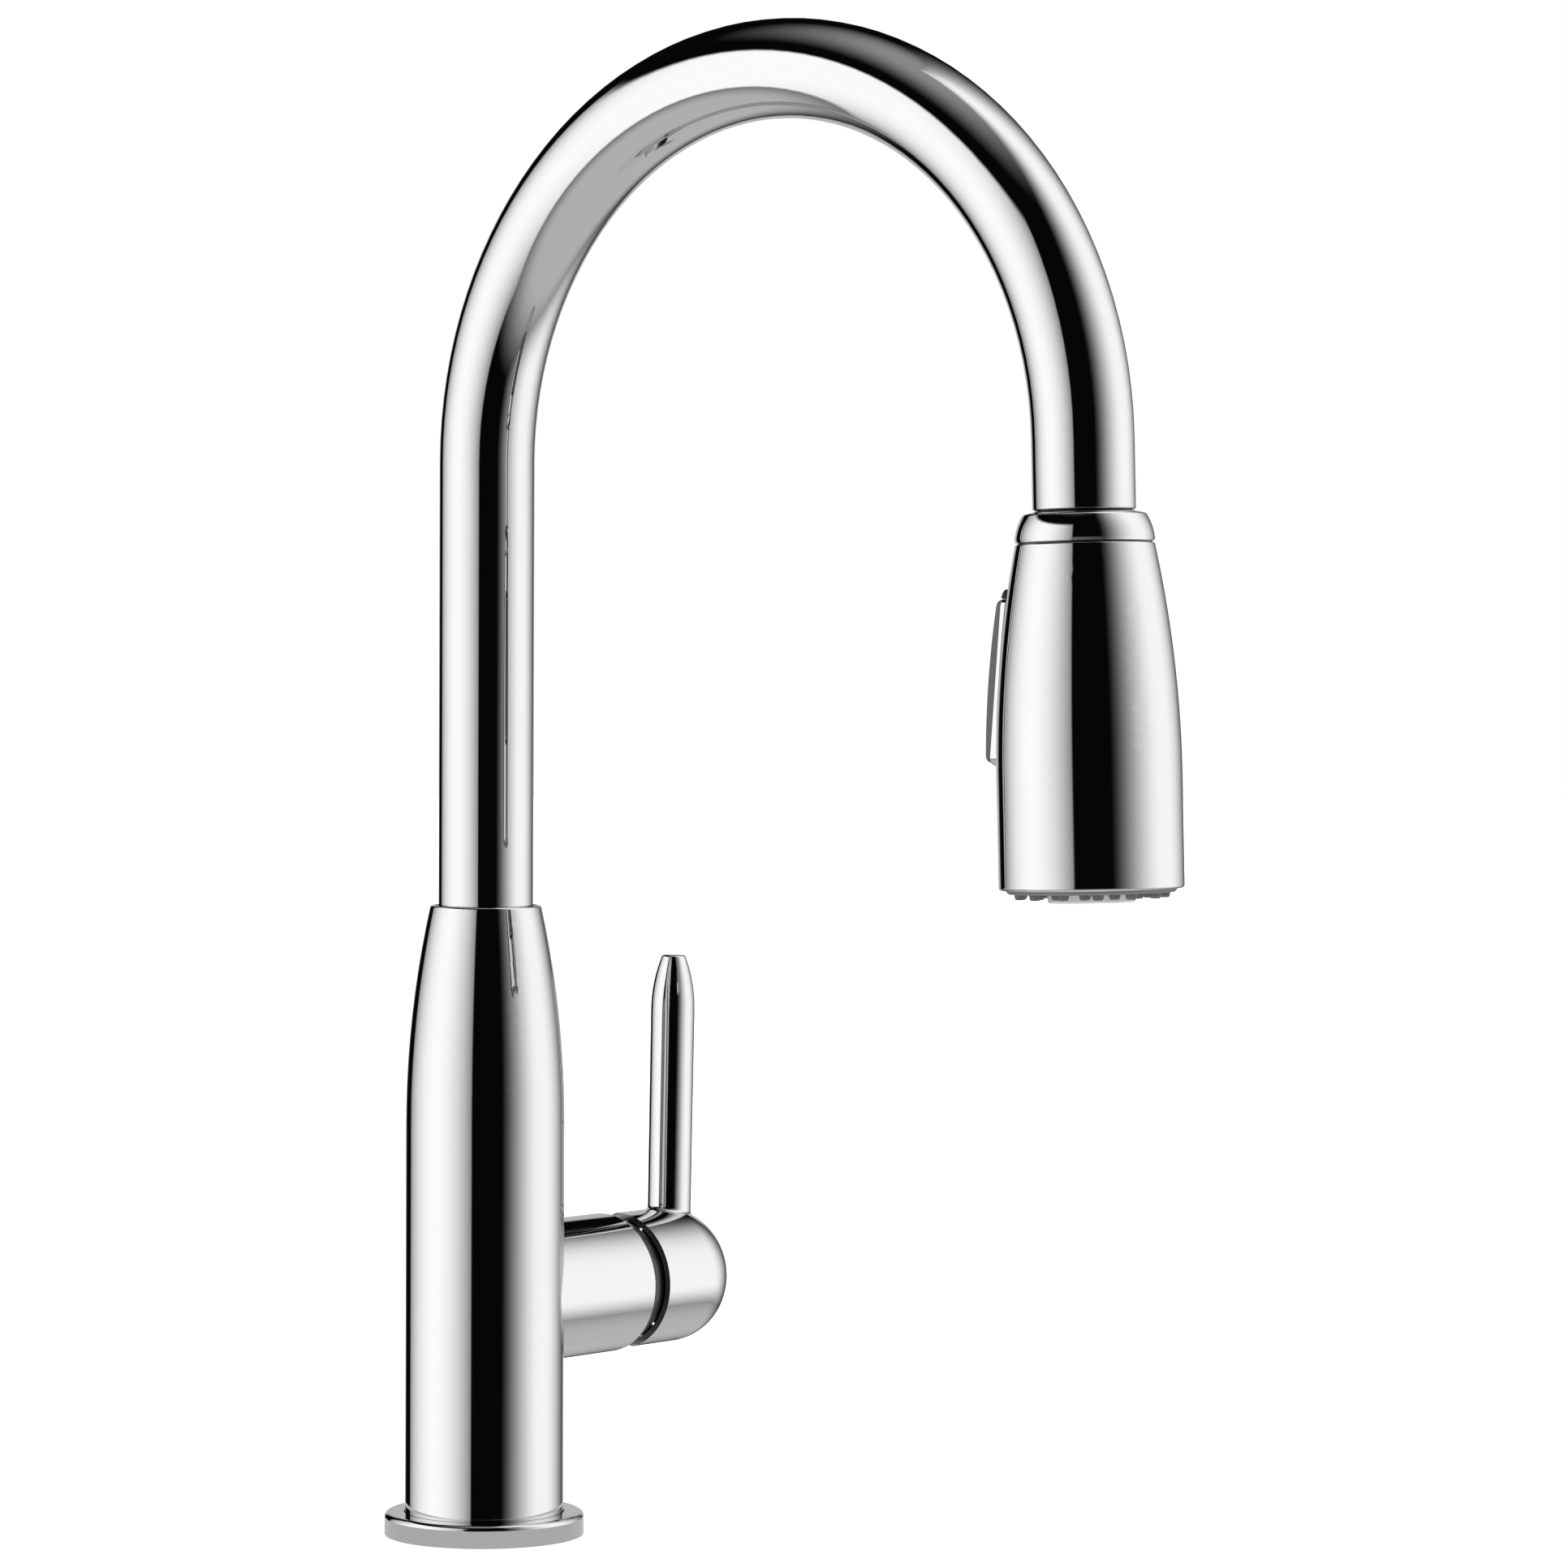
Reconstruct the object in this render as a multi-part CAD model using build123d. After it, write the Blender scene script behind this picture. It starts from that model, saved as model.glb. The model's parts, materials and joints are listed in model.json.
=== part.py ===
from build123d import *
from math import asin, cos, pi, radians, sin, sqrt
import os

# Pull-down kitchen faucet, in millimetres.  Origin: centre of the base ring's
# underside, on the deck.  +Z is up, the spout reaches towards -Y and the valve
# hub with its lever stands out towards +X.

# ---- driving dimensions -------------------------------------------------
BASE_R = 26.75
BASE_H = 6.0
BODY_R = 21.25            # straight lower part of the body
BODY_TAPER_Z = 110.0      # where the body starts to narrow
BODY_TOP_Z = 168.7
BODY_ARC_R = 272.0        # radius of the narrowing curve
BODY_BORE_R = 18.75
BODY_FOOT_Z = 3.0         # the body stands in a recess of the base ring
BUSH_SEAT_R = 15.6
BUSH_SEAT_Z = (113.0, 155.0)
NECK_BORE_R = 13.6

SHANK_R = 16.5
SHANK_BORE_R = 14.5
SHANK_LENGTH = 50.0       # below the deck
PILOT_R = 15.7            # plain end of the shank, below its thread
PILOT_TOP_Z = -44.6
DECK_GRIP = 30.0          # deck thickness left between base and washers
WASHER_R = 24.0

TUBE_R = 12.7
TUBE_BORE_R = 11.5
TUBE_FOOT_Z = 116.0
RISER_TOP_Z = 287.0
ARCH_R = 99.0             # centreline radius of the gooseneck
WAND_TILT = 1.83          # degrees that the wand leans outwards
STUB_LENGTH = 17.6        # straight tube past the arch
HOSE_R = 5.5
HOSE_BORE_R = 4.0
HOSE_FOOT_Z = -46.0

HUB_Z = 63.2              # height of the valve hub's axis
HUB_R = 19.0
HUB_BORE_R = 16.7
HUB_END = 48.3            # distance of the hub's rim from the riser axis
PIVOT = 46.0              # the lever's tilting axis, along the hub axis
HANDLE_R = 18.55
HANDLE_EDGE = 54.6
HANDLE_END = 88.0
HANDLE_CAVITY_R = 16.9
HANDLE_CAVITY_END = 66.0
DOME_CROWN_R = 52.0
DOME_CORNER_R = 14.5
CAP_R = 18.4              # black dome, centred on the pivot
STEM_HEIGHT = 7.0
STEM_WIDTH = 5.0
LEVER_X = 75.3            # where the lever's axis crosses LEVER_FOOT_Z
LEVER_FOOT_Z = 75.0
LEVER_TOP_Z = 152.0
LEVER_LEAN = 1.25         # degrees outwards
LEVER_R = 6.1
LEVER_TIP = 15.3          # length of the bullet tip
LEVER_TIP_R = 42.0        # radius of its curve
PORTS = ((-6.0, -5.0), (6.0, -5.0), (0.0, 6.0))   # hot, cold and mixed water

# The wand is measured along its own axis, downwards from the arch's end.
COLLAR_TOP = 17.95
COLLAR_END = 25.3
SHELL_TOP = 25.75
SHELL_END = 110.3
SHELL_R = 22.8
SHELL_STRAIGHT = 83.0     # below this the shell is a cylinder
SHELL_ARC_R = 291.0
SHELL_WALL = 1.8
SPIGOT_R = 9.3
DOCK_BORE_R = 9.6
FACE_END = 111.2
NUB_END = 112.6
AERATOR_R = 10.8
AERATOR_END = 113.6
ROCKER_MID = 59.3         # the rocker's pin
ROCKER_CENTRE = 58.9      # the middle of its length
ROCKER_LENGTH = 41.8
ROCKER_WIDTH = 16.0
ROCKER_CORNER = 2.6
ROCKER_GAP = 1.4          # clearance to the surround, both sides together
SURROUND = 2.0            # rubber surround, both sides together
SURROUND_LIP = 1.8        # height of its lip above the shell, at the upper end
RIM_Y = 22.55             # height of the rocker's rim above the wand's axis, at the pin
RIM_LEAN = 6.35           # degrees
PAD_INSET = 1.6           # both sides together
PAD_DEPTH = 0.8
PAD_HEIGHT = 3.15         # crown of the pad above the rim
PAD_CROWN_R = 210.0
ROCKER_PIN_Y = 16.0
SPOOL_Y = 8.0
SPOOL_R = 2.6
BALL_X = 29.8             # ball end of the stem, in the mixing disc's carrier
BALL_R = 2.6
CORE_SEAL = 102.0         # O-ring between the core and the aerator housing
NUB_RINGS = ((17.8, 13), (14.0, 12))              # ring radius, number of nubs

ARCH_SWEEP = 180.0 - WAND_TILT
ARCH_END = (
    0.0,
    -ARCH_R * (1 - cos(radians(ARCH_SWEEP))),
    RISER_TOP_Z + ARCH_R * sin(radians(ARCH_SWEEP)),
)
WAND = Location(ARCH_END, (-WAND_TILT, 0, 0))
ROCKER_FACE = Location((0, RIM_Y, -ROCKER_MID), (RIM_LEAN, 0, 0))
HUB = Location((0, 0, HUB_Z), (0, 90, 0))
LOW = (Align.CENTER, Align.CENTER, Align.MIN)


# ---- helpers ------------------------------------------------------------
def turned(*corners):
    """Solid of revolution about Z from (radius, height) corners."""
    points = [(r, 0, z) for r, z in corners]
    return revolve(make_face(Polyline(*points, close=True)), Axis.Z, 360)


def turned_edges(*edges):
    """Solid of revolution about Z from edges that close a face in the XZ plane."""
    return revolve(make_face(Curve() + list(edges)), Axis.Z, 360)


def line(a, b):
    """Straight profile edge between two (radius, height) points."""
    return Line((a[0], 0, a[1]), (b[0], 0, b[1]))


def arc(a, middle, b):
    """Curved profile edge through three (radius, height) points."""
    return ThreePointArc((a[0], 0, a[1]), (middle[0], 0, middle[1]), (b[0], 0, b[1]))


def ring(outer, inner, low, high):
    """Plain ring about Z."""
    return turned((inner, low), (outer, low), (outer, high), (inner, high))


def rod(radius, low, high):
    """Plain cylinder about Z."""
    return turned((0, low), (radius, low), (radius, high), (0, high))


def block(x, y, z):
    """Box from its (low, high) ranges."""
    size = (x[1] - x[0], y[1] - y[0], z[1] - z[0])
    centre = ((x[0] + x[1]) / 2, (y[0] + y[1]) / 2, (z[0] + z[1]) / 2)
    return Pos(*centre) * Box(*size)


def down(*corners):
    """Turn wand corners, given as (radius, distance down), into heights."""
    return [(r, -t) for r, t in corners]


def body_radius(z):
    """Outside radius of the body at a height."""
    rise = max(z - BODY_TAPER_Z, 0)
    return BODY_R - BODY_ARC_R + sqrt(BODY_ARC_R**2 - rise**2)


def shell_radius(t, offset=0.0):
    """Outside radius of the wand shell, t below the arch's end."""
    rise = max(SHELL_STRAIGHT - t, 0)
    return SHELL_R + offset - SHELL_ARC_R + sqrt(SHELL_ARC_R**2 - rise**2)


def rocker_block(grow):
    """Block with the rocker's outline, grown or shrunk, standing out of the wand."""
    outline = RectangleRounded(ROCKER_WIDTH + grow, ROCKER_LENGTH + grow, ROCKER_CORNER + grow / 2)
    return Pos(0, 14.0, -ROCKER_CENTRE) * extrude(Plane.XZ * outline, 20.0, dir=(0, 1, 0))


def under_rim(height):
    """Everything on the wand's side of the rocker's rim plane, which is raised by a height."""
    return ROCKER_FACE * Pos(0, height, 0) * Box(40, 40, 80, align=(Align.CENTER, Align.MAX, Align.CENTER))


def wand_form(offset, top, end):
    """Solid with the wand shell's outline, grown or shrunk by an offset."""
    half = (top + SHELL_STRAIGHT) / 2
    return turned_edges(
        line((0, -end), (SHELL_R + offset, -end)),
        line((SHELL_R + offset, -end), (SHELL_R + offset, -SHELL_STRAIGHT)),
        arc(
            (SHELL_R + offset, -SHELL_STRAIGHT),
            (shell_radius(half, offset), -half),
            (shell_radius(top, offset), -top),
        ),
        line((shell_radius(top, offset), -top), (0, -top)),
        line((0, -top), (0, -end)),
    )


def pipe(outer, inner, low, stub):
    """Tube along the gooseneck, from a height in the riser to stub mm past the arch."""
    riser = Line((0, 0, low), (0, 0, RISER_TOP_Z))
    bend = ThreePointArc((0, 0, RISER_TOP_Z), (0, -ARCH_R, RISER_TOP_Z + ARCH_R), ARCH_END)
    straight = Line(ARCH_END, (WAND * Pos(0, 0, -stub)).position)
    section = Pos(0, 0, low) * (Circle(outer) - Circle(inner))
    return sweep(section, path=Wire([riser, bend, straight]))


# ---- deck mounting ------------------------------------------------------
def base_ring():
    recess = BODY_R + 0.25
    ring_body = turned(
        (SHANK_R + 0.5, 0),
        (BASE_R, 0),
        (BASE_R, BASE_H),
        (recess, BASE_H),
        (recess, BODY_FOOT_Z),
        (SHANK_R + 0.5, BODY_FOOT_Z),
    )
    rims = ring_body.edges().filter_by(GeomType.CIRCLE)
    outside = rims.filter_by(lambda e: e.radius > BASE_R - 0.1).sort_by(Axis.Z)
    ring_body = fillet(outside[-1:], 1.4)
    ring_body = fillet(ring_body.edges().filter_by(GeomType.CIRCLE).group_by(Axis.Z)[0][-1:], 0.3)
    return ring_body - ring(24.5, 19.5, 0, 1.2)


def base_gasket():
    return ring(24.5, 19.5, 0, 1.2)


def mounting_shank():
    return turned(
        (SHANK_BORE_R, -SHANK_LENGTH),
        (PILOT_R - 0.5, -SHANK_LENGTH),
        (PILOT_R, -SHANK_LENGTH + 0.5),
        (PILOT_R, PILOT_TOP_Z),
        (SHANK_R, PILOT_TOP_Z + 0.8),
        (SHANK_R, BODY_FOOT_Z),
        (BODY_BORE_R - 0.05, BODY_FOOT_Z),
        (BODY_BORE_R - 0.05, 14),
        (SHANK_BORE_R, 14),
    )


def rubber_washer():
    return ring(WASHER_R, SHANK_R + 0.4, -DECK_GRIP - 2.0, -DECK_GRIP)


def steel_washer():
    return ring(WASHER_R, SHANK_R + 0.4, -DECK_GRIP - 3.5, -DECK_GRIP - 2.0)


def mounting_nut():
    top = -DECK_GRIP - 3.5
    flange = rod(23.0, top - 2.0, top)
    hexagon = Pos(0, 0, top - 10.0) * extrude(RegularPolygon(23.0, 6), 8.0)
    return flange + hexagon - rod(SHANK_R + 0.05, top - 11.0, top + 1.0)


# ---- body and valve -----------------------------------------------------
def body_shell():
    middle = (BODY_TAPER_Z + BODY_TOP_Z) / 2
    neck = body_radius(BODY_TOP_Z)
    outside = turned_edges(
        line((0, BODY_FOOT_Z), (BODY_R, BODY_FOOT_Z)),
        line((BODY_R, BODY_FOOT_Z), (BODY_R, BODY_TAPER_Z)),
        arc((BODY_R, BODY_TAPER_Z), (body_radius(middle), middle), (neck, BODY_TOP_Z)),
        line((neck, BODY_TOP_Z), (0, BODY_TOP_Z)),
        line((0, BODY_TOP_Z), (0, BODY_FOOT_Z)),
    )
    outside = fillet(outside.edges().filter_by(GeomType.CIRCLE).sort_by(Axis.Z)[-1:], 0.7)
    hub = HUB * rod(HUB_R, 0, HUB_END)
    hub = fillet(hub.edges().filter_by(GeomType.CIRCLE).sort_by(Axis.X)[-1:], 0.4)
    bore = turned(
        (0, BODY_FOOT_Z - 1),
        (BODY_BORE_R, BODY_FOOT_Z - 1),
        (BODY_BORE_R, BUSH_SEAT_Z[0]),
        (BUSH_SEAT_R, BUSH_SEAT_Z[0]),
        (BUSH_SEAT_R, BUSH_SEAT_Z[1]),
        (NECK_BORE_R, BUSH_SEAT_Z[1]),
        (NECK_BORE_R, BODY_TOP_Z + 1),
        (0, BODY_TOP_Z + 1),
    )
    return outside + hub - bore - HUB * rod(HUB_BORE_R, 0, HUB_END + 1)


def valve_body():
    back, floor, front, port = 8.8, 16.8, 44.0, 12.8
    casting = rod(HUB_BORE_R - 0.1, back, front) - rod(14.5, floor, front)
    casting = HUB * casting
    for y, z in PORTS:
        height = HUB_Z + z
        casting -= Pos(port, y, height) * Rot(0, 90, 0) * Cylinder(2.0, floor - port + 1, align=LOW)
        casting -= Pos(port, y, HUB_Z - 18) * Cylinder(2.0, z + 18, align=LOW)
        casting -= Pos(port, y, HUB_Z - 18) * Cylinder(2.85, 8, align=LOW)
    return casting


def supply_nipples():
    return [
        Pos(12.8, y, 0) * ring(2.8, 2.0, 24.0, HUB_Z - 10.0) + Pos(12.8, y, 0) * ring(3.4, 2.0, 24.0, 27.0)
        for y, z in PORTS
    ]


def at_ports(make):
    """One copy of a piece, made along the hub axis, at each water port."""
    return [HUB * Pos(-z, y, 0) * make() for y, z in PORTS]


def port_seals():
    return at_ports(lambda: ring(2.9, 2.0, 16.8, 18.0))


def cartridge_base():
    base = HUB * rod(14.4, 17.2, 21.0)
    for hole in at_ports(lambda: rod(2.0, 16.0, 22.0) + rod(2.95, 16.0, 18.0)):
        base -= hole
    return base


def fixed_disc():
    disc = HUB * rod(13.3, 21.0, 24.0)
    for hole in at_ports(lambda: rod(2.0, 20.0, 25.0)):
        disc -= hole
    return disc


def cartridge_housing():
    return HUB * turned((13.4, 21.0), (14.4, 21.0), (14.4, 37.0), (8.0, 37.0), (8.0, 34.3), (13.4, 34.3))


def bonnet_nut():
    nut = HUB * ring(14.4, 8.6, 37.0, 45.4)
    for turn in range(6):
        notch = block((43.4, 46.0), (-1.6, 1.6), (9.6, 16.0))
        nut -= Pos(0, 0, HUB_Z) * Rot(60 * turn, 0, 0) * notch
    return nut


def bonnet_cap():
    outer = HUB * Pos(0, 0, PIVOT) * Sphere(CAP_R)
    inner = HUB * Pos(0, 0, PIVOT) * Sphere(CAP_R - 1.6)
    keep = HUB * ring(CAP_R + 1, 9.5, HUB_END, PIVOT + CAP_R)
    spigot = HUB * ring(HUB_BORE_R - 0.05, 15.2, 45.8, HUB_END)
    rim = HUB * ring(CAP_R - 0.2, 15.2, HUB_END, HUB_END + 1.0)
    return (outer & keep) - inner + spigot + (rim & outer)


def cartridge_rotor():
    neck = rod(7.95, 31.8, 51.0)
    plate = rod(13.1, 31.8, 34.2)
    rotor = HUB * (neck + plate)
    rails = block((27.4, 31.8), (6.7, 9.2), (-9.0, 9.0))
    rotor += Pos(0, 0, HUB_Z) * rails + Pos(0, 0, HUB_Z) * mirror(rails, Plane.XZ)
    rotor -= Pos(0, 0, HUB_Z) * block((31.0, 52.0), (-2.6, 2.6), (-9.0, 9.0))
    return rotor - lift_pin()


def lift_pin():
    return Pos(PIVOT, 0, HUB_Z) * Rot(90, 0, 0) * Cylinder(1.5, 15.0)


def moving_disc():
    disc = rod(8.0, 24.05, 27.0) & block((-9, 9), (-6.5, 6.5), (24, 27))
    chamber = block((-5.5, 5.5), (-3.5, 3.5), (24, 25.6))
    return HUB * (disc - chamber)


def disc_carrier():
    carrier = rod(8.0, 27.0, 31.5) & block((-9, 9), (-6.5, 6.5), (27, 31.5))
    return HUB * (carrier - rod(BALL_R + 0.1, 26.9, 31.6))


# ---- spout --------------------------------------------------------------
def swivel_bush():
    low, high = BUSH_SEAT_Z
    return turned(
        (14.6, low - 1.5),
        (17.4, low - 1.5),
        (17.4, low),
        (BUSH_SEAT_R - 0.05, low),
        (BUSH_SEAT_R - 0.05, high - 1),
        (14.6, high - 1),
    )


def neck_ring():
    return ring(NECK_BORE_R - 0.02, TUBE_R + 0.06, 155.3, BODY_TOP_Z - 0.7)


def spout_foot():
    foot = turned(
        (11.0, 108.0),
        (14.54, 108.0),
        (14.54, 152.0),
        (TUBE_R, 152.0),
        (TUBE_R, TUBE_FOOT_Z),
        (11.0, TUBE_FOOT_Z),
    )
    for z in (120.0, 147.0):
        foot -= ring(15.0, 13.3, z - 0.85, z + 0.85)
    return foot - ring(15.0, 13.6, 109.8, 111.2)


def spout_o_rings():
    return [Pos(0, 0, z) * Torus(13.93, 0.62) for z in (120.0, 147.0)]


def retaining_clip():
    clip = ring(16.8, 13.62, 109.85, 111.15)
    return clip - block((0, 20), (-9, 9), (109, 112))


def spout_tube():
    tube = pipe(TUBE_R, TUBE_BORE_R, TUBE_FOOT_Z, STUB_LENGTH)
    lip = tube.faces().filter_by(GeomType.PLANE).sort_by(Axis.Y)[0]
    return fillet(lip.edges().sort_by(SortBy.LENGTH)[-1:], 0.6)


def dock_insert():
    return WAND * turned(*down(
        (10.95, 1.0),
        (11.45, 1.0),
        (11.45, STUB_LENGTH),
        (11.9, STUB_LENGTH),
        (11.8, STUB_LENGTH + 0.2),
        (DOCK_BORE_R, STUB_LENGTH + 0.2),
        (DOCK_BORE_R, 8.2),
        (10.95, 8.2),
    ))


def dock_magnet():
    return WAND * ring(10.9, DOCK_BORE_R, -8.1, -1.5)


def pull_hose():
    return pipe(HOSE_R, HOSE_BORE_R, HOSE_FOOT_Z, 0.5)


# ---- hose end -----------------------------------------------------------
def hose_ferrule():
    inside = HOSE_R + 0.05
    outer = ((inside, 0.6), (6.6, 0.6), (6.6, 13.0))
    inner = ((4.05, 13.0), (4.05, 12.0), (inside, 12.0))
    return WAND * turned(*down(*outer, *inner))


def hose_stub():
    return WAND * ring(HOSE_R, HOSE_BORE_R, -12.0, -0.5)


def hose_tailpiece():
    return WAND * turned(*down(
        (2.6, 12.6),
        (4.0, 12.6),
        (4.0, 26.0),
        (6.4, 26.0),
        (6.4, 28.0),
        (2.6, 28.0),
    ))


def check_valve():
    return WAND * (rod(2.55, -27.0, -19.0) - ring(2.6, 2.2, -24.0, -22.0))


# ---- wand ---------------------------------------------------------------
def swivel_nut():
    outer = ((4.08, 18.0), (7.6, 18.0), (7.6, 30.0))
    inner = ((6.48, 30.0), (6.48, 25.95), (4.08, 25.95))
    return WAND * turned(*down(*outer, *inner))


def wand_core():
    core = turned(*down(
        (7.7, 8.6),
        (SPIGOT_R, 8.6),
        (SPIGOT_R, 20.6),
        (12.95, 20.6),
        (12.95, COLLAR_END),
        (16.5, COLLAR_END),
        (16.5, SHELL_TOP),
        (12.95, SHELL_TOP),
        (12.95, 28.0),
        (12.0, 28.0),
        (12.0, 97.0),
        (20.6, 97.0),
        (20.6, 100.0),
        (10.2, 100.0),
        (10.2, 104.0),
        (3.6, 104.0),
        (3.6, 34.0),
        (7.7, 34.0),
    ))
    ear = block((5.1, 7.1), (9.0, 17.6), (-ROCKER_MID - 3, -ROCKER_MID + 3))
    core += ear + mirror(ear, Plane.YZ)
    core -= Pos(0, ROCKER_PIN_Y, -ROCKER_MID) * Rot(0, 90, 0) * Cylinder(1.25, 20)
    core -= Pos(0, SPOOL_Y, 0) * rod(SPOOL_R + 0.05, -ROCKER_MID - 15, -ROCKER_MID + 15)
    core -= block((-1.3, 1.3), (SPOOL_Y, 13.0), (-ROCKER_MID - 2.4, -ROCKER_MID + 2.4))
    core -= ring(11.0, 9.2, -CORE_SEAL - 0.6, -CORE_SEAL + 0.6)
    for angle in range(0, 360, 60):
        core -= Rot(0, 0, angle) * Pos(15.5, 0, 0) * rod(1.6, -101, -96)
    return WAND * core


def docking_ring():
    return WAND * ring(SPIGOT_R, 7.7, -8.6, -6.0)


def wand_collar():
    inner_low, inner_high = (13.0, -COLLAR_END), (13.0, -20.5)
    shoulder_r = 15.2
    shoulder = (shoulder_r, -18.55)
    collar = turned_edges(
        line((9.9, -COLLAR_TOP), (12.9, -COLLAR_TOP)),
        line((12.9, -COLLAR_TOP), shoulder),
        arc(shoulder, (16.5, -21.4), (17.2, -24.6)),
        line((17.2, -24.6), (17.0, -COLLAR_END)),
        line((17.0, -COLLAR_END), inner_low),
        line(inner_low, inner_high),
        line(inner_high, (9.9, -20.5)),
        line((9.9, -20.5), (9.9, -COLLAR_TOP)),
    )
    rims = collar.edges().filter_by(GeomType.CIRCLE)
    return WAND * fillet(rims.filter_by(lambda e: abs(e.radius - shoulder_r) < 0.01), 1.0)


def wand_shell():
    outside = wand_form(0, SHELL_TOP, SHELL_END)
    outside = fillet(outside.edges().filter_by(GeomType.CIRCLE).sort_by(Axis.Z)[:1], 0.8)
    outside = fillet(outside.edges().filter_by(GeomType.CIRCLE).sort_by(Axis.Z)[-1:], 0.4)
    inside = wand_form(-SHELL_WALL, SHELL_TOP + 2.0, SHELL_END + 1.0)
    throat = rod(13.4, -SHELL_TOP - 5, -SHELL_TOP + 5)
    return WAND * (outside - inside - throat - rocker_block(ROCKER_GAP + SURROUND))


def rocker_gasket():
    """Rubber surround of the rocker, with a higher lip around its upper end."""
    band = rocker_block(ROCKER_GAP + SURROUND) - rocker_block(ROCKER_GAP)
    band -= wand_form(-SHELL_WALL, SHELL_TOP, SHELL_END)
    upper_end = block((-12, 12), (0, 40), (-38.6, -30))
    lip = band & wand_form(SURROUND_LIP, SHELL_TOP, SHELL_END) & upper_end
    return WAND * ((band & wand_form(0.45, SHELL_TOP, SHELL_END)) + lip)


def rocker_pin():
    return WAND * Pos(0, ROCKER_PIN_Y, -ROCKER_MID) * Rot(0, 90, 0) * Cylinder(1.25, 14.2)


def rocker_button():
    button = (rocker_block(0) & under_rim(0)) - wand_form(-2.2, SHELL_TOP, SHELL_END)
    rim = button.faces().sort_by(lambda f: f.center().Y)[-1]
    button = fillet(rim.edges(), 0.3)
    button -= rocker_block(-PAD_INSET) - under_rim(-PAD_DEPTH)
    lug = block((-4.8, 4.8), (ROCKER_PIN_Y - 2.0, 21.0), (-ROCKER_MID - 2.2, -ROCKER_MID + 2.2))
    arm = block((-1.0, 1.0), (SPOOL_Y + 1.2, ROCKER_PIN_Y), (-ROCKER_MID - 0.9, -ROCKER_MID + 0.9))
    button = button + lug + arm
    hole = Pos(0, ROCKER_PIN_Y, -ROCKER_MID) * Rot(0, 90, 0) * Cylinder(1.3, 20)
    return WAND * (button - hole)


def rocker_pad():
    crown = ROCKER_FACE * Pos(0, PAD_HEIGHT - PAD_CROWN_R, 0) * Rot(0, 90, 0) * Cylinder(PAD_CROWN_R, 40)
    pad = (rocker_block(-PAD_INSET) & crown) - under_rim(-PAD_DEPTH)
    face = pad.faces().sort_by(lambda f: f.center().Y)[-1]
    return WAND * fillet(face.edges(), 1.2)


def diverter_spool():
    spool = rod(SPOOL_R, -ROCKER_MID - 12, -ROCKER_MID + 12)
    spool -= ring(SPOOL_R + 1, 1.0, -ROCKER_MID - 1.2, -ROCKER_MID + 1.2)
    return WAND * Pos(0, SPOOL_Y, 0) * spool


def nub_places():
    """Centres of the spray nubs, ring by ring."""
    return [
        (radius * cos(2 * pi * k / count), radius * sin(2 * pi * k / count))
        for radius, count in NUB_RINGS
        for k in range(count)
    ]


def spray_face():
    face = turned(*down(
        (AERATOR_R + 0.1, 108.0),
        (20.5, 108.0),
        (20.5, 100.2),
        (20.95, 100.2),
        (20.95, FACE_END - 0.6),
        (20.4, FACE_END),
        (AERATOR_R + 0.1, FACE_END),
    ))
    for x, y in nub_places():
        face -= Pos(x, y, 0) * rod(1.7, -FACE_END - 1, -107)
    return WAND * face


def nozzle_pad():
    pad = ring(20.4, AERATOR_R + 0.1, -107.95, -105.0)
    for x, y in nub_places():
        nub = turned(*down((0, 107.0), (1.6, 107.0), (1.6, FACE_END), (1.25, NUB_END), (0, NUB_END)))
        pad += Pos(x, y, 0) * nub
        pad -= Pos(x, y, 0) * rod(0.5, -NUB_END - 1, -104)
    return WAND * pad


def aerator_housing():
    return WAND * turned(*down(
        (10.25, 100.1),
        (AERATOR_R, 100.1),
        (AERATOR_R, AERATOR_END - 0.4),
        (AERATOR_R - 0.4, AERATOR_END),
        (9.2, AERATOR_END),
        (9.2, 104.1),
        (10.25, 104.1),
    ))


def aerator_screen():
    screen = rod(9.15, -112.9, -111.9)
    pitch = 2.4
    for i in range(-3, 4):
        for j in range(-3, 4):
            if (i * i + j * j) * pitch**2 < 7.9**2:
                x, y = i * pitch, j * pitch
                screen -= block((x - 0.85, x + 0.85), (y - 0.85, y + 0.85), (-114, -111))
    return WAND * screen


def aerator_o_ring():
    return WAND * Pos(0, 0, -CORE_SEAL) * Torus(9.72, 0.48)


# ---- handle -------------------------------------------------------------
def dome():
    """Handle hub: a cylinder closed by a crowned end with a large round corner."""
    crown_centre = HANDLE_END - DOME_CROWN_R
    corner_r = HANDLE_R - DOME_CORNER_R
    reach = DOME_CROWN_R - DOME_CORNER_R
    corner_z = crown_centre + sqrt(reach**2 - corner_r**2)
    meet = asin(corner_r / reach)
    crown_mid = (DOME_CROWN_R * sin(meet / 2), crown_centre + DOME_CROWN_R * cos(meet / 2))
    crown_end = (DOME_CROWN_R * sin(meet), crown_centre + DOME_CROWN_R * cos(meet))
    half = (meet + pi / 2) / 2
    corner_mid = (corner_r + DOME_CORNER_R * sin(half), corner_z + DOME_CORNER_R * cos(half))
    return HUB * turned_edges(
        line((HANDLE_CAVITY_R, HANDLE_EDGE), (HANDLE_R, HANDLE_EDGE)),
        line((HANDLE_R, HANDLE_EDGE), (HANDLE_R, corner_z)),
        arc((HANDLE_R, corner_z), corner_mid, crown_end),
        arc(crown_end, crown_mid, (0, HANDLE_END)),
        line((0, HANDLE_END), (0, HANDLE_CAVITY_END)),
        line((0, HANDLE_CAVITY_END), (HANDLE_CAVITY_R, HANDLE_CAVITY_END)),
        line((HANDLE_CAVITY_R, HANDLE_CAVITY_END), (HANDLE_CAVITY_R, HANDLE_EDGE)),
    )


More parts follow.
